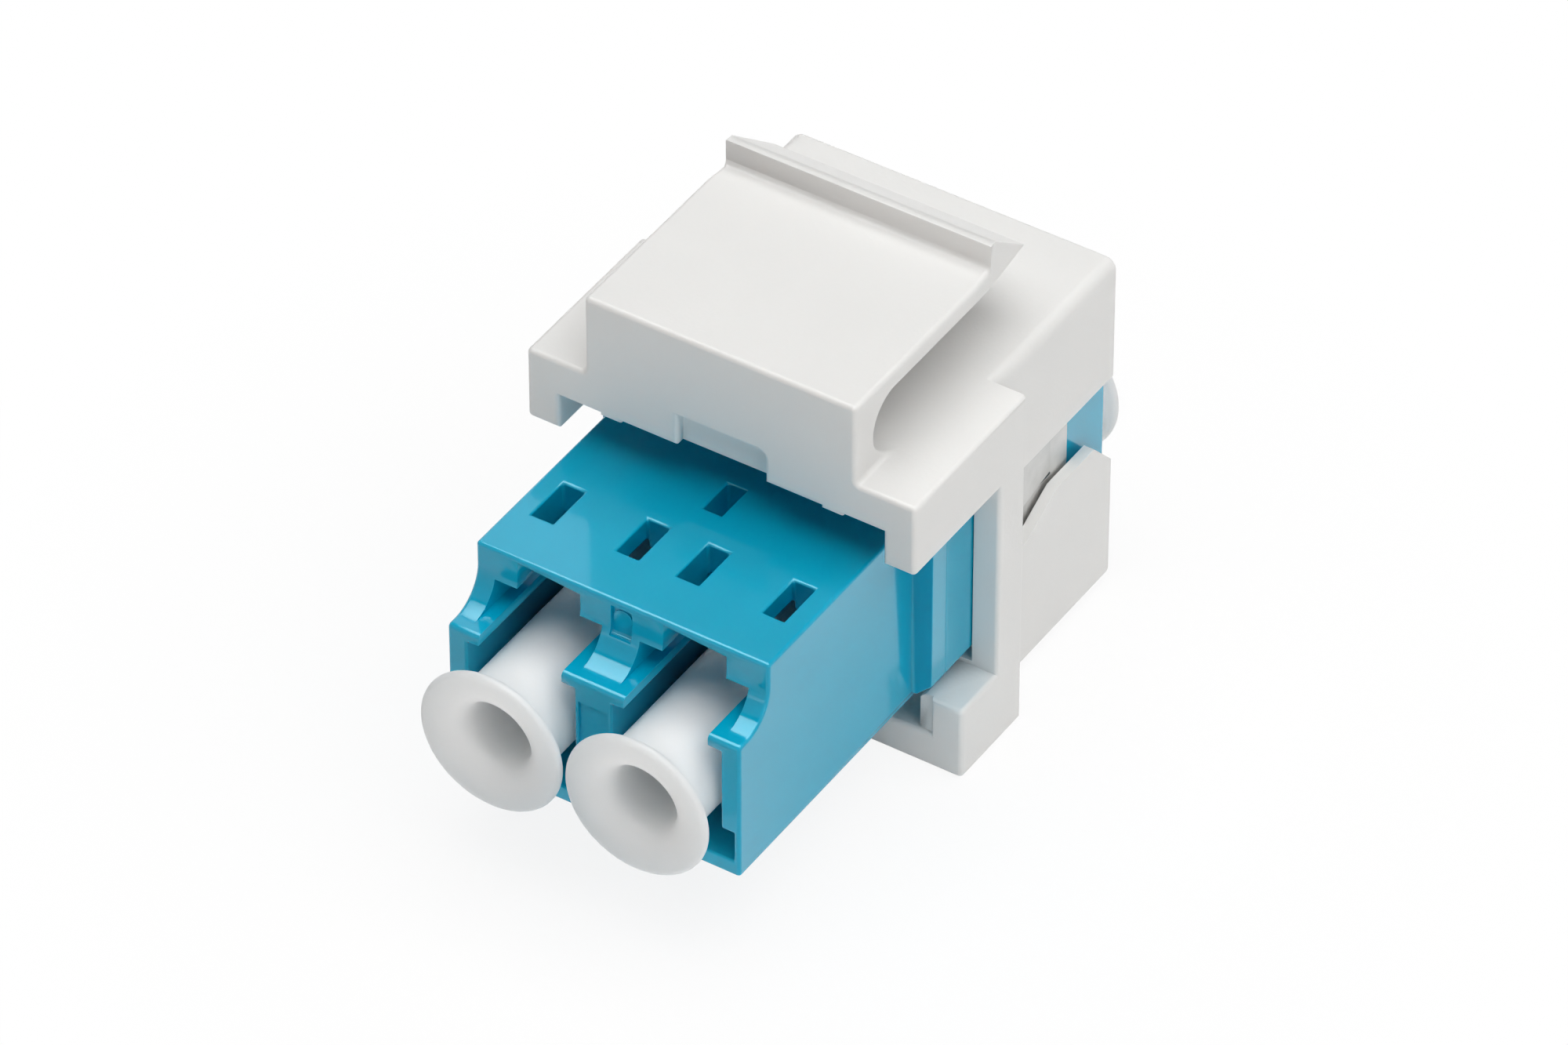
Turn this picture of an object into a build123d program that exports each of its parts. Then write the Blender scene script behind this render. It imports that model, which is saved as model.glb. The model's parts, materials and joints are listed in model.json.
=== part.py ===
from build123d import *
import os

os.makedirs("parts", exist_ok=True)

# Fibre keystone adapter, in millimetres.
# X runs across the two ports, Y from the front ports to the rear ports, Z up from the resting face.
# Every piece is drawn with Y = 0 on the face where the two housing halves meet.
# The last section moves all of them so that the origin is under the middle of the whole adapter.

# Fits
slip = 0.05               # gap between pieces that slide into each other
seat_gap = 0.02           # gap between faces that seat on each other

# Housing, made of a front half and a rear half
body_width = 12.54
body_height = 8.74
half_length = 12.46       # mating face to the end of a port
top_setback = 1.92        # how far the top edge stands behind the port's lower edge
scoop_radius = 1.45       # hollow curve from the top edge down to the shelf
port_pitch = 6.25
port_width = 4.64
port_floor = 0.68         # thickness of the housing's floor
web = 1.0                 # wall across the inside at the mating face
rail_top_height = 6.23    # top of the guide rails above the housing's underside
rail_thickness = 0.55
rail_reach = 0.53         # how far a rail stands into the port
catch_height = 7.34       # underside of the latch catches above the housing's underside
catch_length = 2.35
latch_slot_width = 2.71
roof = 0.30               # thin lip over the latch slot, at the front
inner_roof = 1.00         # housing's top further in
lip_length = 0.80
window_length = 2.07
centre_window_width = 0.84
centre_window_length = 1.67
centre_window_start = 2.87
centre_window_depth = 1.6
corner_pocket_width = 0.55
corner_pocket_height = 1.35
corner_pocket_depth = 6.0
body_round = 0.15
key_slot_width = 0.92
key_slot_height = 1.35
key_slot_depth = 0.15
mark_radius = 0.40        # raised round mark of the mould in the key slot
mark_rise = 0.05
mark_drop = 0.55          # middle of the mark below the top of the key slot
post_panel_width = 1.25
post_panel_drop = 1.05    # top of the panel below the top of the rails
post_panel_depth = 0.10
front_round = 0.20

# Flange of the housing
flange_width = 14.30
flange_rise = 0.30        # above the housing's top
flange_drop = 0.35        # lower edge above the housing's underside
flange_front = 0.95       # ahead of the mating face
flange_rear = 2.41
flange_corner = 0.65

# Barrels and sleeves
axis_height = 3.47        # fibre axes above the housing's underside
barrel_radius = 1.30
barrel_length = 4.20
barrel_chamfer = 0.20
sleeve_bore_radius = 0.625
sleeve_wall = 0.175
sleeve_length = 6.80
sleeve_slit = 0.30
lip_radius = 0.72         # narrow end of the lead-in through the barrel's lip, which keeps the sleeve in
lead_in_radius = 0.95

# Dust caps
cap_length = 12.60
cap_stem_radius = 2.10
cap_rim_radius = 3.03
cap_rim_thickness = 0.40
cap_flare_length = 1.55
cap_recess_radius = 1.36
cap_recess_depth = 7.2
cap_mouth_round = 0.55
cap_socket_depth = 3.35
cap_front_gap = 0.94      # front caps stop this far short of the wall inside the housing
cap_rear_gap = 0.24

# Spring clip
clip_thickness = 0.20
clip_length = 7.0
clip_height = 7.65        # side plates, above the housing's underside
ear_height = 2.1
ear_length = 4.8
ear_spring = 0.57         # how far an ear's free end stands out, as a share of the flange's overhang
ear_relief = 0.15         # slot cut round an ear

# Keystone holder
holder_height = 19.00     # resting face to the top of the latch arm
frame_rib = 1.13          # side bars of the flange, beside the housing's flange
plate_front = 1.75
plate_thickness = 1.70
bar_front = 4.09          # front face of the top bar, ahead of the mating face
lower_bar_front = 0.69
tunnel_floor = 1.52
lift_share = 0.47         # share of the tunnel's spare height that lies under the housing
frame_roof = 1.67         # top bar and roof above the tunnel
leg_width = 1.37          # legs of the top bar and feet of the lower bar
upper_leg_height = 3.19
foot_height = 3.26
guide_width = 0.57        # ribs on the inner sides of the legs and the feet
guide_setback = 0.22
guide_cut = 0.25          # cut corner at a rib's free end
block_rear = 11.89
block_wall = 0.45
block_step = 0.15         # underside of the rear block above the resting face
clip_room = 0.10          # gap beside the clip in the tunnel
upper_wall_bottom = 10.00
lower_wall_top = 7.30
lower_wall_dip = 6.20     # top of the lower side wall beside the flange
dip_end = 5.80
dip_rise_end = 7.90
lower_wall_slope_start = 10.50
lower_wall_rear = 5.80
tunnel_rib_width = 0.80
tunnel_rib_place = 4.20
tunnel_rib_end = 1.0      # how far the ribs stop short of the rear face
block_round = 0.50
frame_round = 0.20
pad_inner = 4.30          # low pads on the underside of the top bar
pad_outer = 5.20
pad_drop = 0.12
notch_left = 1.87
notch_right = 1.93
notch_height = 1.40       # above the tunnel's roof
notch_depth = 0.50
notch_round = 0.35

# Latch arm of the holder
latch_width = 11.58
latch_rise = 3.53         # top of the latch arm above the holder's roof
latch_wall = 1.30
arm_thickness = 0.86
ridge_front = 5.13
ridge_height = 1.07
ridge_tip = 7.91
ridge_land = 0.35
ridge_tip_half_width = 5.40
taper_start = 4.10

# Worked out from the sizes above
frame_height = holder_height - latch_rise
tunnel_roof = frame_height - frame_roof
spare_height = tunnel_roof - tunnel_floor - clip_thickness - body_height - flange_rise
body_half = body_width / 2
body_bottom = tunnel_floor + clip_thickness + lift_share * spare_height
body_top = body_bottom + body_height
rail_top = body_bottom + rail_top_height
rail_bottom = rail_top - rail_thickness
catch_bottom = body_bottom + catch_height
floor_top = body_bottom + port_floor
axis_z = body_bottom + axis_height
top_front = half_length - top_setback
port_half = port_width / 2
neck_half = port_half - rail_reach
slot_half = latch_slot_width / 2
flange_half = flange_width / 2
flange_bottom = body_bottom + flange_drop
flange_top = body_top + flange_rise
sleeve_radius = sleeve_bore_radius + sleeve_wall
tunnel_half = body_half + clip_thickness + clip_room
block_half = tunnel_half + block_wall
pocket_half = flange_half + slip
frame_half = pocket_half + frame_rib
plate_rear = plate_front + plate_thickness
pocket_rear = flange_rear + seat_gap
cap_front_inner = web + cap_front_gap
cap_rear_inner = web + cap_rear_gap
past = 1.0                # how far cutting shapes run past the faces that they cut


def block(x_low, x_high, y_low, y_high, z_low, z_high):
    """A block between two corners."""
    size = Box(x_high - x_low, y_high - y_low, z_high - z_low)
    return Pos((x_low + x_high) / 2, (y_low + y_high) / 2, (z_low + z_high) / 2) * size


def slab(half, y_low, y_high, z_low, z_high):
    """A block that is centred across the adapter."""
    return block(-half, half, y_low, y_high, z_low, z_high)


def pair(shape):
    """A shape on the right side, with its mirror image on the left."""
    return shape + mirror(shape, about=Plane.YZ)


def panel(x_low, x_high, low, high):
    """A flat rectangle between two corners, as a sketch."""
    corners = (x_low, low), (x_high, low), (x_high, high), (x_low, high)
    return Polygon(*corners, align=None)


def round_corner(sketch, corner, radius):
    """A sketch with the corner nearest to a point rounded."""
    return fillet(sketch.vertices().sort_by_distance(Vector(*corner))[0], radius)


def across(sketch, half):
    """A side profile of (Y, Z) points carried across the adapter."""
    return extrude(Plane.YZ * sketch, amount=half, both=True)


def lengthwise(sketch, y_low, y_high):
    """An outline of (X, Z) points carried along the adapter."""
    return extrude(Plane.XZ.offset(-y_high) * sketch, amount=y_high - y_low)


def edges_on(shape, planes, but_not=()):
    """Each edge of a shape that lies in one of the planes and in none of the others, once."""
    def in_any(edge, places):
        middle = edge.center()
        along = {Axis.X: middle.X, Axis.Y: middle.Y, Axis.Z: middle.Z}
        return any(abs(along[axis] - place) < 0.001 for axis, place in places)

    return [edge for edge in shape.edges() if in_any(edge, planes) and not in_any(edge, but_not)]


def half_shell():
    """Outside of the front housing half: a box whose front steps down through a hollow scoop."""
    side = Polygon(
        (0, body_bottom),
        (-half_length, body_bottom),
        (-half_length, rail_top),
        (-top_front, rail_top),
        (-top_front, body_top),
        (0, body_top),
        align=None,
    )
    side = round_corner(side, (-top_front, rail_top), scoop_radius)
    side = round_corner(side, (-half_length, rail_top), front_round)
    side = round_corner(side, (-top_front, body_top), body_round)
    side = round_corner(side, (-half_length, body_bottom), body_round)
    shell = across(side, body_half)
    sides = (Axis.X, body_half), (Axis.X, -body_half)
    return fillet(edges_on(shell, sides, but_not=[(Axis.Y, 0)]), body_round)


def latch_slot_side():
    """Side view of the slot for a plug's latch, whose top slopes down from a thin lip at the front."""
    slope_start = -top_front + lip_length
    slope_end = slope_start + lip_length
    return Polygon(
        (-half_length - past, rail_top),
        (-web, rail_top),
        (-web, body_top - inner_roof),
        (slope_end, body_top - inner_roof),
        (slope_start, body_top - roof),
        (-half_length - past, body_top - roof),
        align=None,
    )


def port_cut(side):
    """Space of one port: plug room, neck between the rails, latch room, windows and corner pocket."""
    x = side * port_pitch / 2
    front = -half_length - past
    room = block(x - port_half, x + port_half, front, -web, floor_top, rail_bottom)
    neck = block(x - neck_half, x + neck_half, front, -web, rail_bottom, rail_top)
    ears = block(x - port_half, x + port_half, front, -web, rail_top, catch_bottom)
    slot = Pos(x, 0, 0) * across(latch_slot_side(), slot_half)
    window_front = -top_front + catch_length
    window_rear = window_front + window_length
    window = block(slot_half, port_half, window_front, window_rear, catch_bottom, body_top + past)
    windows = Pos(x, 0, 0) * pair(window)
    wall = x + side * port_half
    deep = wall + side * corner_pocket_width
    pocket_end = -half_length + corner_pocket_depth
    low = floor_top
    high = floor_top + corner_pocket_height
    pocket = block(min(wall, deep), max(wall, deep), front, pocket_end, low, high)
    return room + neck + ears + slot + windows + pocket


def front_marks():
    """Shallow recesses on the middle post: the key slot above and the panel below the rails."""
    key_top = body_top - roof
    key = slab(
        key_slot_width / 2,
        -top_front - past,
        -top_front + key_slot_depth,
        key_top - key_slot_height,
        key_top,
    )
    panel = slab(
        post_panel_width / 2,
        -half_length - past,
        -half_length + post_panel_depth,
        floor_top,
        rail_top - post_panel_drop,
    )
    return key + panel


def key_mark():
    """Raised round mark on the face inside the key slot."""
    face = -top_front + key_slot_depth
    height = body_top - roof - mark_drop
    disc = Cylinder(mark_radius, mark_rise + key_slot_depth)
    return Pos(0, face + (key_slot_depth - mark_rise) / 2, height) * Rot(90, 0, 0) * disc


def along_port(side, shape, middle):
    """An upright round shape laid along one fibre axis, its middle this far ahead of the mating face."""
    return Pos(side * port_pitch / 2, -middle, axis_z) * Rot(90, 0, 0) * shape


def barrel(side):
    """Tube that holds half of a split sleeve, as one with the housing half."""
    tube = along_port(side, Cylinder(barrel_radius, barrel_length), barrel_length / 2)
    return chamfer(edges_on(tube, [(Axis.Y, -barrel_length)]), barrel_chamfer)


def barrel_bore(side):
    """Sleeve pocket from the mating face, and the lead-in for a ferrule through the barrel's lip."""
    pocket_end = sleeve_length / 2 + slip
    pocket = along_port(side, Cylinder(sleeve_radius + slip, 2 * pocket_end), 0)
    lead_in = Cone(lip_radius, lead_in_radius, barrel_length - pocket_end)
    return pocket + along_port(side, lead_in, (pocket_end + barrel_length) / 2)


def flange(y_low, y_high):
    """One half's share of the flange, with cut corners."""
    outline = Polygon(
        (-flange_half, flange_bottom + flange_corner),
        (-flange_half + flange_corner, flange_bottom),
        (flange_half - flange_corner, flange_bottom),
        (flange_half, flange_bottom + flange_corner),
        (flange_half, flange_top - flange_corner),
        (flange_half - flange_corner, flange_top),
        (-flange_half + flange_corner, flange_top),
        (-flange_half, flange_top - flange_corner),
        align=None,
    )
    return lengthwise(outline, y_low, y_high)


def housing(flange_length):
    """A housing half that faces the front, with its own share of the flange."""
    half = half_shell() + flange(-flange_length, 0)
    for side in (-1, 1):
        half = half - port_cut(side)
    half = half - front_marks() + key_mark()
    window_end = -centre_window_start
    half = half - slab(
        centre_window_width / 2,
        window_end - centre_window_length,
        window_end,
        body_top - centre_window_depth,
        body_top + past,
    )
    for side in (-1, 1):
        half = half + barrel(side)
    for side in (-1, 1):
        half = half - barrel_bore(side)
    return half


def adapter_front_half():
    return housing(flange_front)


def adapter_rear_half():
    return mirror(housing(flange_rear), about=Plane.XZ)


def split_sleeve(side):
    """Thin ceramic tube with one slit along its top, which grips both fibre ferrules."""
    centre = Pos(side * port_pitch / 2, 0, axis_z)
    tube = Cylinder(sleeve_radius, sleeve_length) - Cylinder(sleeve_bore_radius, sleeve_length)
    slit_height = sleeve_radius + past
    slit = Pos(0, 0, slit_height / 2) * Box(sleeve_slit, sleeve_length + past, slit_height)
    return centre * (Rot(90, 0, 0) * tube - slit)


def cap_profile():
    """Half section of a dust cap, as (radius, distance from its inner end)."""
    rim_back = cap_length - cap_rim_thickness
    flare_foot = rim_back - cap_flare_length
    web_top = cap_length - cap_recess_depth
    socket_radius = barrel_radius + slip
    rim_round = cap_rim_thickness / 2 - seat_gap
    outline = Polyline(
        (0, cap_socket_depth),
        (socket_radius, cap_socket_depth),
        (socket_radius, 0),
        (cap_stem_radius, 0),
        (cap_stem_radius, flare_foot),
    )
    flare = Bezier(
        (cap_stem_radius, flare_foot),
        (cap_stem_radius, rim_back - cap_flare_length / 4),
        (cap_rim_radius - rim_round, rim_back),
    )
    rim = ThreePointArc(
        (cap_rim_radius - rim_round, rim_back),
        (cap_rim_radius, rim_back + cap_rim_thickness / 2),
        (cap_rim_radius - rim_round, cap_length),
    )
    mouth = Bezier(
        (cap_rim_radius - rim_round, cap_length),
        (cap_recess_radius, cap_length),
        (cap_recess_radius, cap_length - 2 * cap_mouth_round),
    )
    inside = Polyline(
        (cap_recess_radius, cap_length - 2 * cap_mouth_round),
        (cap_recess_radius, web_top),
        (0, web_top),
        (0, cap_socket_depth),
    )
    return make_face(outline + flare + rim + mouth + inside)


def dust_cap(side, end):
    """Soft cap on a barrel. The end is -1 at the front and 1 at the rear."""
    turned = revolve(Plane.XZ * cap_profile(), Axis.Z)
    inner_end = cap_front_inner if end < 0 else cap_rear_inner
    place = Pos(side * port_pitch / 2, end * inner_end, axis_z)
    return place * Rot(-90 * end, 0, 0) * turned


def spring_clip():
    """Steel strap under the housing and up both sides, with two ears that spring outwards."""
    inner = body_half
    outer = inner + clip_thickness
    under = body_bottom - clip_thickness
    top = body_bottom + clip_height
    strap = panel(-outer, outer, under, top)
    strap = fillet(strap.vertices().group_by(Axis.Y)[0], body_round + clip_thickness)
    room = panel(-inner, inner, body_bottom, top + past)
    room = fillet(room.vertices().group_by(Axis.Y)[0], body_round)
    start = flange_rear + seat_gap
    band = lengthwise(strap - room, start, start + clip_length)
    ear_front = plate_rear + seat_gap
    ear_rear = ear_front + ear_length
    ear_offset = ear_spring * (flange_half - body_half)
    ear_middle = (lower_wall_top + upper_wall_bottom) / 2
    ear_low = ear_middle - ear_height / 2
    ear_high = ear_middle + ear_height / 2
    relief = block(
        inner - past,
        outer + past,
        ear_front - ear_relief,
        ear_rear,
        ear_low - ear_relief,
        ear_high + ear_relief,
    )
    plan = Polygon(
        (inner, ear_rear),
        (outer, ear_rear),
        (outer + ear_offset, ear_front),
        (inner + ear_offset, ear_front),
        align=None,
    )
    ear = extrude(Pos(0, 0, ear_low) * plan, amount=ear_height, dir=(0, 0, 1))
    return band - pair(relief) + pair(ear)


def guide_rib(free_end, root, front):
    """Rib on the inner side of a right leg or foot, with a cut corner at its free end."""
    leg_inner = frame_half - leg_width
    cut_end = free_end + guide_cut if root > free_end else free_end - guide_cut
    outline = Polygon(
        (leg_inner, free_end),
        (leg_inner - guide_width + guide_cut, free_end),
        (leg_inner - guide_width, cut_end),
        (leg_inner - guide_width, root),
        (leg_inner, root),
        align=None,
    )
    return lengthwise(outline, front, plate_rear)


def top_bar():
    """Bar over the front ports with its two short legs and the guides beside them."""
    bar = slab(frame_half, -bar_front, plate_rear, tunnel_roof, frame_height)
    leg_bottom = frame_height - upper_leg_height
    leg_inner = frame_half - leg_width
    leg = block(leg_inner, frame_half, -bar_front, plate_rear, leg_bottom, tunnel_roof)
    guide = guide_rib(leg_bottom, tunnel_roof, -bar_front + guide_setback)
    pad = block(pad_inner, pad_outer, -bar_front, 0, tunnel_roof - pad_drop, tunnel_roof)
    return bar + pair(leg + guide + pad)


def lower_bar():
    """Low bar under the front ports with its two feet."""
    bar = slab(frame_half, -lower_bar_front, plate_rear, 0, tunnel_floor)
    foot_inner = frame_half - leg_width
    foot = block(foot_inner, frame_half, -lower_bar_front, plate_rear, 0, foot_height)
    guide = guide_rib(foot_height, 0, -lower_bar_front + guide_setback)
    return bar + pair(foot + guide)


def rear_block():
    """Open-ended box behind the flange, with a slot along each side for the clip's ears."""
    outline = panel(-block_half, block_half, block_step, frame_height)
    outline = fillet(outline.vertices(), block_round)
    box = lengthwise(outline, plate_front, block_rear)
    slot = Polygon(
        (plate_rear, upper_wall_bottom),
        (plate_rear, lower_wall_dip),
        (dip_end, lower_wall_dip),
        (dip_rise_end, lower_wall_top),
        (lower_wall_slope_start, lower_wall_top),
        (block_rear, lower_wall_rear),
        (block_rear + past, lower_wall_rear),
        (block_rear + past, upper_wall_bottom),
        align=None,
    )
    return box - across(slot, block_half + past)


def tunnel():
    """Passage through the holder, without the ribs that locate the housing in it."""
    inside = slab(tunnel_half, plate_front - past, block_rear + past, tunnel_floor, tunnel_roof)
    return inside - plate_web() - tunnel_ribs()


def plate_web():
    """What the flange plate leaves standing in the passage, above and below the housing."""
    web_block = slab(tunnel_half + past, plate_front, plate_rear, tunnel_floor, tunnel_roof)
    low = body_bottom - clip_thickness - slip
    high = body_top + slip
    opening = slab(tunnel_half, plate_front - past, plate_rear + past, low, high)
    return web_block - opening


def tunnel_ribs():
    """Two ribs above and two below, which the housing and its clip lie between."""
    rib_low = tunnel_rib_place - tunnel_rib_width / 2
    rib_high = tunnel_rib_place + tunnel_rib_width / 2
    end = block_rear - tunnel_rib_end
    upper = block(rib_low, rib_high, plate_front, end, body_top + slip, tunnel_roof + past)
    under = body_bottom - clip_thickness - slip
    lower = block(rib_low, rib_high, plate_front, end, tunnel_floor - past, under)
    return pair(upper + lower)


def latch_arm():
    """Hooked arm over the holder: a front wall, a springing top and the catch ridge at its free end."""
    under = holder_height - arm_thickness
    gap = under - frame_height
    tip_height = under
    side = Polygon(
        (-bar_front, frame_height - past),
        (-bar_front, holder_height),
        (ridge_front, holder_height),
        (ridge_front, holder_height + ridge_height),
        (ridge_front + ridge_land, holder_height + ridge_height),
        (ridge_tip, tip_height),
        (-bar_front + latch_wall, tip_height),
        (-bar_front + latch_wall, frame_height - past),
        align=None,
    )
    arm = across(side, latch_width / 2)
    web_corner = Polygon(
        (-bar_front + latch_wall, under),
        (-bar_front + latch_wall + gap / 2, under),
        (-bar_front + latch_wall + gap / 2, frame_height),
        (-bar_front + latch_wall, frame_height),
        align=None,
    )
    slot_end = Pos(-bar_front + latch_wall + gap / 2, frame_height + gap / 2) * Circle(gap / 2)
    arm = arm + across(web_corner - slot_end, latch_width / 2)
    plan = Polygon(
        (-latch_width / 2, -bar_front - past),
        (latch_width / 2, -bar_front - past),
        (latch_width / 2, taper_start),
        (ridge_tip_half_width, ridge_tip),
        (ridge_tip_half_width, ridge_tip + past),
        (-ridge_tip_half_width, ridge_tip + past),
        (-ridge_tip_half_width, ridge_tip),
        (-latch_width / 2, taper_start),
        align=None,
    )
    return arm & extrude(plan, amount=holder_height + ridge_height + past)


def bar_notch():
    """Shallow notch in the lower edge of the top bar's front face."""
    top = tunnel_roof + notch_height
    notch = panel(-notch_left, notch_right, tunnel_roof - past, top)
    notch = round_corner(notch, (notch_right, top), notch_round)
    return lengthwise(notch, -bar_front - past, -bar_front + notch_depth)


def keystone_frame():
    """One-piece moulding that carries the housing and snaps into a keystone opening."""
    plate = slab(frame_half, plate_front, plate_rear, 0, frame_height)
    frame = plate + top_bar() + lower_bar() + rear_block()
    low = flange_bottom - slip
    high = flange_top + slip
    pocket = slab(pocket_half, plate_front - past, pocket_rear, low, high)
    frame = frame - pocket - tunnel() + latch_arm() - bar_notch()
    outer_planes = [
        (Axis.X, frame_half),
        (Axis.X, -frame_half),
        (Axis.X, latch_width / 2),
        (Axis.X, -latch_width / 2),
        (Axis.Y, -bar_front),
        (Axis.Y, -lower_bar_front),
        (Axis.Y, block_rear),
        (Axis.Z, holder_height),
    ]
    return fillet(edges_on(frame, outer_planes), frame_round)


shapes = {
    "keystone_frame": keystone_frame(),
    "adapter_front_half": adapter_front_half(),
    "adapter_rear_half": adapter_rear_half(),
    "spring_clip": spring_clip(),
}
for side, hand in ((-1, "left"), (1, "right")):
    shapes["split_sleeve_" + hand] = split_sleeve(side)
    shapes["dust_cap_front_" + hand] = dust_cap(side, -1)
    shapes["dust_cap_rear_" + hand] = dust_cap(side, 1)

# The front caps stand out further than the rear ones, so the middle of the whole lies ahead of Y = 0.
to_origin = Pos(0, (cap_front_inner - cap_rear_inner) / 2, 0)
for node, shape in shapes.items():
    export_step(to_origin * shape, "parts/" + node + ".step")
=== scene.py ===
import json
from math import cos, pi, radians, sin

import bmesh
import bpy
import numpy as np
from mathutils import Matrix, Vector


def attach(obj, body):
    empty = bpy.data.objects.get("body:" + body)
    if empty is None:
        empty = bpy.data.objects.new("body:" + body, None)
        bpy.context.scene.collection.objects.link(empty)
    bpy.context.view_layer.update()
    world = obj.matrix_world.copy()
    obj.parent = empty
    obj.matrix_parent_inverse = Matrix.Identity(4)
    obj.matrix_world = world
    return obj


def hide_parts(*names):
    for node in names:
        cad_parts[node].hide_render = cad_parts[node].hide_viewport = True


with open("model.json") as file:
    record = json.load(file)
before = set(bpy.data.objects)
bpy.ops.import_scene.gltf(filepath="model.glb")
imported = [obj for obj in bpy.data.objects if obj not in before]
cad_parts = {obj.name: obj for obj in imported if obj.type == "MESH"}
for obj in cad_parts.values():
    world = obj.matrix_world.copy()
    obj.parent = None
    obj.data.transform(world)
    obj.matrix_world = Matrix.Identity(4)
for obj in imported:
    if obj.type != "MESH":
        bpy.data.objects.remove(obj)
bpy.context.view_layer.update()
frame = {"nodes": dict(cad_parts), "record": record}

MM = 0.001

# The photo's frame, and the lens that was solved from the object's straight edges in it.
PHOTO_WIDTH = 2000
FOCAL_PIXELS = 13733.1
SENSOR = 36.0
CAMERA_AZIMUTH = 32.693
CAMERA_ELEVATION = 40.729
CAMERA_ROLL = radians(0.053)
CAMERA_AIM = Vector((-0.988, 2.106, 6.334)) * MM
CAMERA_DISTANCE = 396.35 * MM

# Sizes of the looks, in metres
MERGE = 0.001 * MM
FINE_EDGE = 0.12 * MM
HOLDER_EDGE = 0.10 * MM
SHORT_EDGE = 0.08 * MM    # no edge beside one as short as this is rounded
EDGE_ROOM = 2.2           # room that a rounding needs, in its own widths
EDGE_STEPS = 3
SHARP_TURN = radians(40)  # edges that turn by more than this are rounded or stay sharp
FLAT_TURN = radians(0.5)  # faces that turn by less than this are one flat face

# Where edges lie free of other pieces, in millimetres. The others get only a share of the rounding.
HOLDER_TOP = 15.3
HOLDER_FRONT = -2.5
HOLDER_SIDE = 7.8
HOUSING_FRONT = -1.0
HOUSING_REAR = 4.5
MEETING_SHARE = 0.3

# A dust cap's profile, as in the part's own source, in millimetres
CAP_LENGTH = 12.60
STEM_RADIUS = 2.10
RIM_RADIUS = 3.03
RIM_THICKNESS = 0.40
FLARE_LENGTH = 1.55
RECESS_RADIUS = 1.36
RECESS_DEPTH = 7.2
MOUTH_ROUND = 0.55
SOCKET_RADIUS = 1.35
SOCKET_DEPTH = 3.35
CORNER_ROUND = 0.10
OUT_OF_ROUND = 0.012
CAP_TURNS = 120

# The table, and how far from the object its shadows fade out
TABLE_HALF = 1.5
SHADOW_INNER = 16 * MM
SHADOW_OUTER = 34 * MM
MIRRORED_INNER = 6 * MM   # the same for the shadow in the object's reflections
MIRRORED_OUTER = 14 * MM
TABLE_GLOW = 0.88         # share of the table's white that no shadow takes away

# Lamps: azimuth and elevation in degrees, distance, width and height in metres, watts, colour
LAMPS = {
    "key_light": (94, 81, 0.5, 0.54, 0.78, 3.39, (1.0, 1.0, 0.99)),
    "glint_light": (180, 89, 0.5, 0.62, 0.54, 5.5, (1.0, 1.0, 1.0)),
    "rear_light": (213, 41, 0.5, 0.40, 0.24, 0.21, (1.0, 1.0, 1.0)),
    "right_light": (64, 7, 0.5, 0.30, 0.10, 0.33, (1.0, 0.99, 0.98)),
    "front_light": (-6, 3, 0.6, 0.40, 0.10, 0.25, (1.0, 0.83, 0.74)),
}
GLINTS = ("glint_light", "rear_light")  # these show in reflections and light nothing else

# Surroundings: the fill, and the walls that reflections see, by the sine of the elevation
FILL_COLOUR = (0.98, 0.99, 1.0, 1)
FILL_STRENGTH = 0.02
WALL_TOP = 0.68
CEILING_START = 0.78
CEILING_GLOW = 0.06


class Value:
    """One output of a shader node. Arithmetic on it adds the Math nodes."""

    def __init__(self, finish, socket):
        self.finish = finish
        self.socket = socket

    def maths(self, operation, *terms):
        return self.finish.node("ShaderNodeMath", {"operation": operation}, dict(enumerate(terms)))

    def __add__(self, other):
        return self.maths("ADD", self, other)

    def __mul__(self, other):
        return self.maths("MULTIPLY", self, other)


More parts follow.
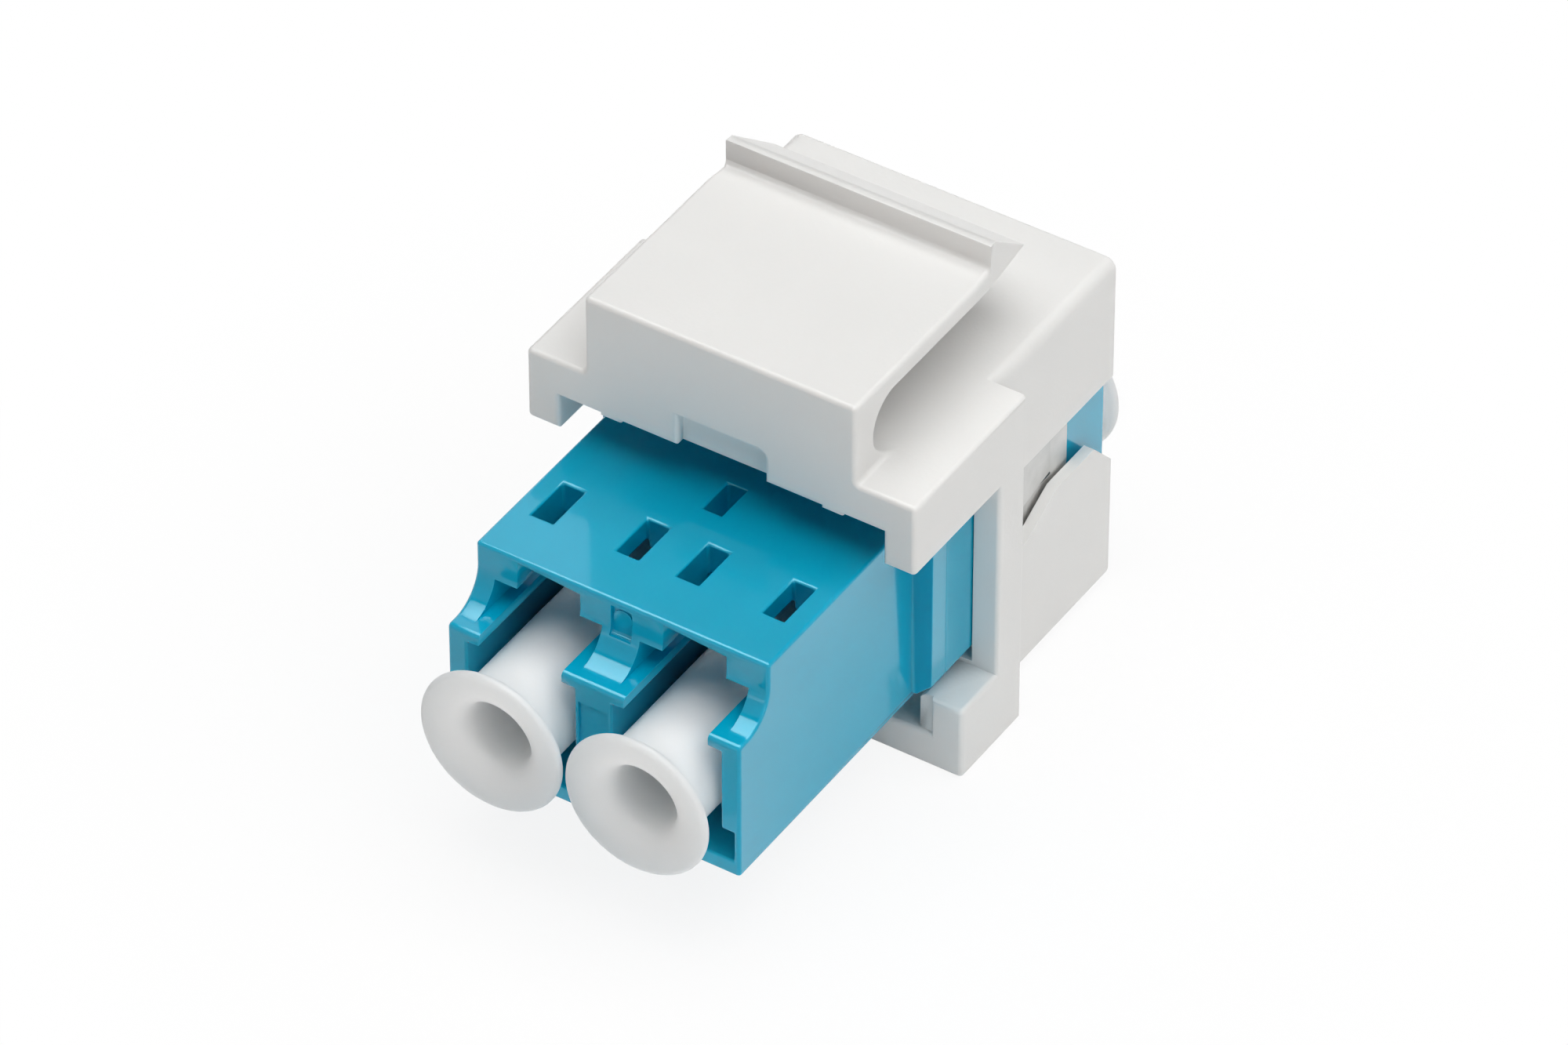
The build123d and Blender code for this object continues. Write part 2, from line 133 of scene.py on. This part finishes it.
class Finish:
    """A material, or another thing with a shader, that is being put together from nodes."""

    def __init__(self, name, holder=None):
        self.material = holder or bpy.data.materials.new(name)
        self.material.use_nodes = True
        self.tree = self.material.node_tree
        self.tree.nodes.clear()

    def node(self, kind, settings=None, inputs=None, output=0):
        """Adds a node, sets it up, then fills its sockets with numbers, colours or links."""
        node = self.tree.nodes.new(kind)
        for key, value in (settings or {}).items():
            setattr(node, key, value)
        for key, value in (inputs or {}).items():
            if isinstance(value, Value):
                self.tree.links.new(value.socket, node.inputs[key])
            else:
                node.inputs[key].default_value = value
        return Value(self, node.outputs[output]) if node.outputs else node

    def place(self):
        """Where a point lies on the piece, in the object's own metres."""
        return self.node("ShaderNodeTexCoord", output="Object")

    def noise(self, size, detail, stretch=(1, 1, 1)):
        """Soft noise with features of about the given size in metres."""
        scale = tuple(s / size for s in stretch)
        inputs = {"Vector": self.place(), "Scale": scale}
        spot = self.node("ShaderNodeMapping", {"vector_type": "POINT"}, inputs)
        return self.node("ShaderNodeTexNoise", {}, {"Vector": spot, "Scale": 1.0, "Detail": detail})

    def step(self, value, nothing, full):
        """A soft step from 0 at one value to 1 at another."""
        inputs = {"Value": value, "From Min": nothing, "From Max": full}
        return self.node("ShaderNodeMapRange", {"interpolation_type": "SMOOTHSTEP"}, inputs)

    def mix(self, factor, first, second):
        """A colour between two others."""
        settings = {"data_type": "RGBA"}
        inputs = {0: factor, 6: first, 7: second}
        return self.node("ShaderNodeMix", settings, inputs, output=2)

    def surface(self, **inputs):
        """Ends the material in one Principled shader."""
        named = {key.replace("_", " "): value for key, value in inputs.items()}
        shader = self.node("ShaderNodeBsdfPrincipled", {}, named)
        self.node("ShaderNodeOutputMaterial", {}, {"Surface": shader})
        return self.material

    def bump(self, height, distance, strength):
        inputs = {"Height": height, "Distance": distance, "Strength": strength}
        return self.node("ShaderNodeBump", {}, inputs)


def white_plastic():
    """Satin white moulding: a very fine spark-eroded grain with slow shifts of tone and gloss."""
    finish = Finish("white_plastic")
    grain = finish.noise(0.14 * MM, 4)
    drift = finish.noise(4.0 * MM, 2)
    colour = finish.mix(drift, (0.80, 0.795, 0.785, 1), (0.83, 0.825, 0.815, 1))
    return finish.surface(
        Base_Color=colour,
        Roughness=grain * 0.10 + drift * 0.06 + 0.38,
        Specular_IOR_Level=0.3,
        Subsurface_Weight=0.15,
        Subsurface_Radius=(1.0, 0.9, 0.85),
        Subsurface_Scale=0.4 * MM,
        Normal=finish.bump(grain, 0.012 * MM, 0.6),
    )


def aqua_plastic():
    """Glossy aqua moulding with faint flow marks from the gate and fine handling marks."""
    finish = Finish("aqua_plastic")
    grain = finish.noise(0.05 * MM, 2)
    flow = finish.noise(1.6 * MM, 3, stretch=(1, 0.35, 1))
    colour = finish.mix(flow, (0.0, 0.355, 0.55, 1), (0.0, 0.385, 0.59, 1))
    return finish.surface(
        Base_Color=colour,
        Roughness=grain * 0.06 + flow * 0.06 + 0.16,
        Specular_Tint=(0.0, 0.8, 1.0, 1),
        Specular_IOR_Level=0.3,
        Coat_Weight=1.0,
        Coat_IOR=1.35,
        Coat_Roughness=0.09,
        Subsurface_Weight=0.25,
        Subsurface_Radius=(0.2, 0.8, 1.0),
        Subsurface_Scale=0.4 * MM,
        Normal=finish.bump(grain + flow * 0.5, 0.002 * MM, 0.5),
    )


def cap_plastic():
    """Soft milky polyethylene that lets much of the light through."""
    finish = Finish("cap_plastic")
    grain = finish.noise(0.12 * MM, 3)
    cloud = finish.noise(1.5 * MM, 2)
    colour = finish.mix(cloud, (0.99, 0.98, 0.965, 1), (1.0, 0.995, 0.985, 1))
    return finish.surface(
        Base_Color=colour,
        Roughness=grain * 0.10 + 0.40,
        Specular_IOR_Level=0.25,
        Subsurface_Weight=1.0,
        Subsurface_Radius=(1.0, 1.0, 0.97),
        Subsurface_Scale=2.0 * MM,
        Normal=finish.bump(grain, 0.004 * MM, 0.4),
    )


def clip_steel():
    """Rolled spring steel with grain lines along the strip."""
    finish = Finish("clip_steel")
    lines = finish.noise(0.04 * MM, 3, stretch=(1, 0.04, 1))
    wear = finish.noise(0.8 * MM, 3)
    colour = finish.mix(wear, (0.52, 0.52, 0.51, 1), (0.70, 0.70, 0.69, 1))
    return finish.surface(
        Base_Color=colour,
        Metallic=1.0,
        Roughness=lines * 0.18 + wear * 0.08 + 0.22,
        Normal=finish.bump(lines, 0.002 * MM, 0.6),
    )


def sleeve_ceramic():
    """Ground zirconia: warm white, smooth, with fine grinding rings."""
    finish = Finish("sleeve_ceramic")
    rings = finish.noise(0.05 * MM, 2, stretch=(0.1, 1, 0.1))
    return finish.surface(
        Base_Color=finish.mix(rings, (0.84, 0.82, 0.77, 1), (0.90, 0.89, 0.86, 1)),
        Roughness=rings * 0.10 + 0.12,
        Subsurface_Weight=0.3,
        Subsurface_Radius=(1.0, 0.9, 0.8),
        Subsurface_Scale=0.5 * MM,
        Normal=finish.bump(rings, 0.002 * MM, 0.4),
    )


FINISHES = {
    "white_plastic": white_plastic(),
    "aqua_plastic": aqua_plastic(),
    "cap_plastic": cap_plastic(),
    "clip_steel": clip_steel(),
    "sleeve_ceramic": sleeve_ceramic(),
}


def body_of_node(node):
    """Name of the body that a node belongs to."""
    groups = frame["record"]["behaviour"]["bodies"]
    return next(body for body, nodes in groups.items() if node in nodes)


def slot_of_node(node):
    """Material slot that the record gives a node."""
    return next(row["material_slot"] for row in frame["record"]["subparts"] if row["node"] == node)


def dress(piece, node):
    """Gives a piece the finish and the motion of the node that it stands for."""
    name = slot_of_node(node)
    piece.data.materials.clear()
    piece.data.materials.append(FINISHES[name])
    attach(piece, body_of_node(node))
    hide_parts(node)
    return piece


def edge_share(node, spot):
    """Share of the full rounding that an edge gets: all where it lies free, less elsewhere."""
    x, y, z = spot / MM
    if node == "keystone_frame":
        free = z > HOLDER_TOP or y < HOLDER_FRONT or abs(x) > HOLDER_SIDE
    else:
        free = y < HOUSING_FRONT or y > HOUSING_REAR
    return 1.0 if free else MEETING_SHARE


def mark_edges(work, node, width):
    """Weighs the edges with room for rounding, at both faces and ends. The others stay sharp."""
    layer = work.edges.layers.float.new("bevel_weight_edge")
    for line in work.edges:
        if len(line.link_faces) == 2 and line.calc_face_angle(0) > SHARP_TURN:
            share = edge_share(node, (line.verts[0].co + line.verts[1].co) / 2)
            breadth = min(face.calc_area() for face in line.link_faces) / line.calc_length()
            next_edges = [edge.calc_length() for end in line.verts for edge in end.link_edges]
            room = max(EDGE_ROOM * width * share, SHORT_EDGE)
            line[layer] = share * (min(breadth, *next_edges) > room)
            line.smooth = line[layer] > 0


def moulded_copy(node, width):
    """The node's own faces, merged into whole flat ones, with its sharp edges rounded a little."""
    mesh = frame["nodes"][node].data.copy()
    mesh.name = node + "_moulding"
    work = bmesh.new()
    work.from_mesh(mesh)
    bmesh.ops.remove_doubles(work, verts=work.verts, dist=MERGE)
    bmesh.ops.dissolve_limit(
        work,
        angle_limit=FLAT_TURN,
        verts=work.verts,
        edges=work.edges,
        delimit={"NORMAL"},
    )
    mark_edges(work, node, width)
    work.to_mesh(mesh)
    work.free()
    mesh.shade_smooth()
    piece = bpy.data.objects.new(node + "_moulding", mesh)
    bpy.context.scene.collection.objects.link(piece)
    bevel = piece.modifiers.new("edges", "BEVEL")
    bevel.width = width
    bevel.segments = EDGE_STEPS
    bevel.limit_method = "WEIGHT"
    flat = piece.modifiers.new("flats", "WEIGHTED_NORMAL")
    flat.mode = "FACE_AREA_WITH_ANGLE"
    flat.weight = 100
    flat.keep_sharp = True
    return dress(piece, node)


def curve(start, bend, end, steps=14):
    """Points of a soft curve that leaves the start towards the bend and reaches the end from it."""
    t = np.linspace(0, 1, steps)[:, None]
    return (1 - t) ** 2 * np.array(start) + 2 * t * (1 - t) * np.array(bend) + t**2 * np.array(end)


def cap_outline():
    """Half section of a cap, from its socket's end face to its recess's, as (radius, distance)."""
    rim_back = CAP_LENGTH - RIM_THICKNESS
    foot = rim_back - FLARE_LENGTH
    flare_bend = rim_back - FLARE_LENGTH / 4
    mouth = CAP_LENGTH - 2 * MOUTH_ROUND
    end = CAP_LENGTH - RECESS_DEPTH
    half = RIM_THICKNESS / 2
    lip = RIM_RADIUS - half
    low = CORNER_ROUND
    angle = np.linspace(-pi / 2, pi / 2, 18)
    rim = np.column_stack((lip + half * np.cos(angle), rim_back + half * (1 + np.sin(angle))))
    socket = SOCKET_RADIUS
    socket_edge = [(socket - low, SOCKET_DEPTH), (socket, SOCKET_DEPTH), (socket, SOCKET_DEPTH - low)]
    stem = np.linspace(2 * low, foot - low, 12)
    recess = np.linspace(mouth - MOUTH_ROUND, end + 2 * low, 8)
    return np.vstack(
        [
            [(0, SOCKET_DEPTH), (socket / 2, SOCKET_DEPTH)],
            curve(*socket_edge, 5),
            curve((socket, low), (socket, 0), (socket + low, 0), 5),
            curve((STEM_RADIUS - low, 0), (STEM_RADIUS, 0), (STEM_RADIUS, low), 5),
            np.column_stack((np.full_like(stem, STEM_RADIUS), stem)),
            curve((STEM_RADIUS, foot), (STEM_RADIUS, flare_bend), (lip, rim_back))[:-1],
            rim,
            curve((lip, CAP_LENGTH), (RECESS_RADIUS, CAP_LENGTH), (RECESS_RADIUS, mouth), 20)[1:],
            np.column_stack((np.full_like(recess, RECESS_RADIUS), recess)),
            curve((RECESS_RADIUS, end + low), (RECESS_RADIUS, end), (RECESS_RADIUS - low, end), 5),
            [(RECESS_RADIUS / 2, end), (0, end)],
        ]
    )


def turned_piece(name, outline, base, way):
    """Surface (r cos t, d, r sin t) of an outline of (r, d) points, d measured from a base point."""
    turn = np.linspace(0, 2 * pi, CAP_TURNS, endpoint=False)
    radius, reach = outline[:, :1], outline[:, 1:]
    waves = OUT_OF_ROUND * (radius / RIM_RADIUS) ** 4 * np.sin(2 * turn + 5 * base[0])
    x = base[0] + radius * np.cos(turn)
    y = base[1] + way * (reach + waves)
    z = base[2] + way * radius * np.sin(turn)
    points = np.stack((x, y, z), axis=-1).reshape(-1, 3) * MM
    rows, columns = len(outline), CAP_TURNS
    row, column = np.meshgrid(np.arange(rows - 1), np.arange(columns), indexing="ij")
    here = row * columns + column
    beside = row * columns + (column + 1) % columns
    faces = np.stack((here, here + columns, beside + columns, beside), axis=-1).reshape(-1, 4)
    mesh = bpy.data.meshes.new(name)
    mesh.from_pydata(points.tolist(), [], faces.tolist())
    work = bmesh.new()
    work.from_mesh(mesh)
    bmesh.ops.remove_doubles(work, verts=work.verts, dist=MERGE)
    bmesh.ops.recalc_face_normals(work, faces=work.faces)
    work.to_mesh(mesh)
    work.free()
    mesh.shade_smooth()
    piece = bpy.data.objects.new(name, mesh)
    bpy.context.scene.collection.objects.link(piece)
    return piece


def node_bounds(node):
    """Lowest and highest corner of a node, in millimetres."""
    points = np.array([vertex.co[:] for vertex in frame["nodes"][node].data.vertices]) / MM
    return points.min(axis=0), points.max(axis=0)


def soft_cap(node):
    """A dust cap with its true curves, from its inner end outwards."""
    low, high = node_bounds(node)
    way = -1 if "front" in node else 1
    base = (low + high) / 2
    base[1] = high[1] if way < 0 else low[1]
    return dress(turned_piece(node + "_soft", cap_outline(), base, way), node)


MOULDED = {
    "keystone_frame": HOLDER_EDGE,
    "adapter_front_half": FINE_EDGE,
    "adapter_rear_half": FINE_EDGE,
}
for node, piece in frame["nodes"].items():
    if node in MOULDED:
        moulded_copy(node, MOULDED[node])
    elif node.startswith("dust_cap"):
        soft_cap(node)
    else:
        piece.data.materials.clear()
        piece.data.materials.append(FINISHES[slot_of_node(node)])


def direction(azimuth, elevation):
    """Unit vector from the object towards a place given in degrees, azimuth 0 being the front."""
    a = radians(azimuth)
    e = radians(elevation)
    return Vector((sin(a) * cos(e), -cos(a) * cos(e), sin(e)))


def floor():
    """White table: it takes the object's shadow, and fades to plain white away from the object."""
    mesh = bpy.data.meshes.new("floor")
    half = TABLE_HALF
    corners = [(-half, -half, 0), (half, -half, 0), (half, half, 0), (-half, half, 0)]
    mesh.from_pydata(corners, [], [(0, 1, 2, 3)])
    piece = bpy.data.objects.new("floor", mesh)
    bpy.context.scene.collection.objects.link(piece)
    finish = Finish("floor_paper")
    grain = finish.noise(0.5 * MM, 3)
    tone = finish.mix(grain, (0.95, 0.95, 0.95, 1), (0.98, 0.98, 0.98, 1))
    paper = finish.node("ShaderNodeBsdfPrincipled", {}, {"Base Color": tone, "Roughness": 0.9})
    white = finish.node("ShaderNodeEmission", {}, {"Color": (1, 1, 1, 1), "Strength": 1.0})
    spot = finish.place()
    distance = finish.node("ShaderNodeVectorMath", {"operation": "LENGTH"}, {0: spot}, output="Value")
    fade = finish.step(distance, SHADOW_INNER, SHADOW_OUTER) * (1 - TABLE_GLOW) + TABLE_GLOW
    seen = finish.node("ShaderNodeLightPath", output="Is Camera Ray")
    mirrored = finish.node("ShaderNodeLightPath", output="Is Glossy Ray")
    far = finish.step(distance, MIRRORED_INNER, MIRRORED_OUTER)
    blend = finish.node("ShaderNodeMixShader", {}, {0: fade * seen + far * mirrored, 1: paper, 2: white})
    finish.node("ShaderNodeOutputMaterial", {}, {"Surface": blend})
    mesh.materials.append(finish.material)


def soft_box(name, azimuth, elevation, distance, width, height, power, colour):
    """A rectangular lamp that faces the middle of the object."""
    lamp = bpy.data.lights.new(name, "AREA")
    lamp.shape = "RECTANGLE"
    lamp.size = width
    lamp.size_y = height
    lamp.energy = power
    lamp.color = colour
    holder = bpy.data.objects.new(name, lamp)
    bpy.context.scene.collection.objects.link(holder)
    away = direction(azimuth, elevation)
    holder.location = CAMERA_AIM + away * distance
    holder.rotation_euler = away.to_track_quat("Z", "Y").to_euler()
    return holder


def studio():
    """White surroundings for the camera, dim fill for the rest, and the soft boxes.

    Reflections see white walls up to about 45 degrees and a dark ceiling above them, so that the
    soft box overhead stands out in them.
    """
    world = bpy.data.worlds.new("studio")
    bpy.context.scene.world = world
    finish = Finish("studio", world)
    seen = finish.node("ShaderNodeLightPath", output="Is Camera Ray")
    mirrored = finish.node("ShaderNodeLightPath", output="Is Glossy Ray")
    way = finish.node("ShaderNodeTexCoord", output="Generated")
    height = finish.node("ShaderNodeSeparateXYZ", {}, {0: way}, output="Z")
    walls = finish.step(height, CEILING_START, WALL_TOP) * (1 - CEILING_GLOW) + CEILING_GLOW
    fill = finish.node("ShaderNodeBackground", {}, {"Color": FILL_COLOUR, "Strength": FILL_STRENGTH})
    white = finish.node("ShaderNodeBackground", {}, {"Color": (1, 1, 1, 1), "Strength": 1.0})
    share = seen + mirrored * walls
    shade = finish.node("ShaderNodeMixShader", {}, {0: share, 1: fill, 2: white})
    finish.node("ShaderNodeOutputWorld", {}, {"Surface": shade})
    for name, lamp in LAMPS.items():
        soft_box(name, *lamp).visible_diffuse = name not in GLINTS


def camera():
    """The solved camera, aimed at a point on its own axis."""
    lens = bpy.data.cameras.new("photo_camera")
    lens.sensor_fit = "HORIZONTAL"
    lens.sensor_width = SENSOR
    lens.lens = FOCAL_PIXELS / PHOTO_WIDTH * SENSOR
    lens.clip_start = 0.01
    lens.clip_end = 10
    holder = bpy.data.objects.new("photo_camera", lens)
    bpy.context.scene.collection.objects.link(holder)
    back = direction(CAMERA_AZIMUTH, CAMERA_ELEVATION)
    level = Vector((0, 0, 1)).cross(back).normalized()
    upright = back.cross(level)
    right = level * cos(CAMERA_ROLL) + upright * sin(CAMERA_ROLL)
    up = back.cross(right)
    turn = Matrix((right, up, back)).transposed()
    holder.matrix_world = Matrix.Translation(CAMERA_AIM + back * CAMERA_DISTANCE) @ turn.to_4x4()
    bpy.context.scene.camera = holder


floor()
studio()
camera()
bpy.context.scene.view_settings.view_transform = "Standard"
